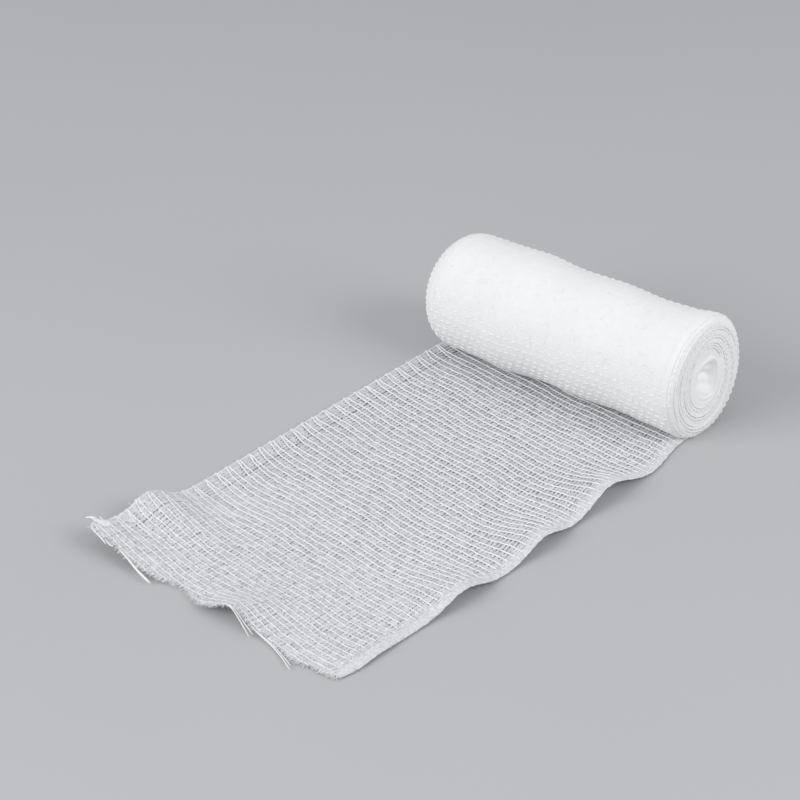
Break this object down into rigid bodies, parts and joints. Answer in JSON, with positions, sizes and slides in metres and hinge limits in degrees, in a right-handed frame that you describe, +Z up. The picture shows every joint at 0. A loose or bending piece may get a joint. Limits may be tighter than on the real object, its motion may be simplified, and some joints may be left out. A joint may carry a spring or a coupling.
{
  "type": "elastic bandage roll",
  "caption": "Partly unrolled roll of white open-weave elastic gauze bandage, with a loose end that lies flat, rippled selvedges and a frayed cut edge.",
  "frame": {"origin": "on the surface that the bandage lies on, under the middle of the roll's axis, at the centre of the roll's flat spot", "axes": "+X along the roll's axis towards its near end, -Y along the loose end away from the roll, +Z up"},
  "size_m": [0.1049, 0.1912, 0.0378],
  "materials": {
    "gauze": "matte white open weave of fluffy lengthwise yarns and smooth cross yarns"
  },
  "bodies": {
    "root": {"wound_roll": "gauze", "loose_end": "gauze", "frayed_edge": "gauze"}
  },
  "joints": []
}
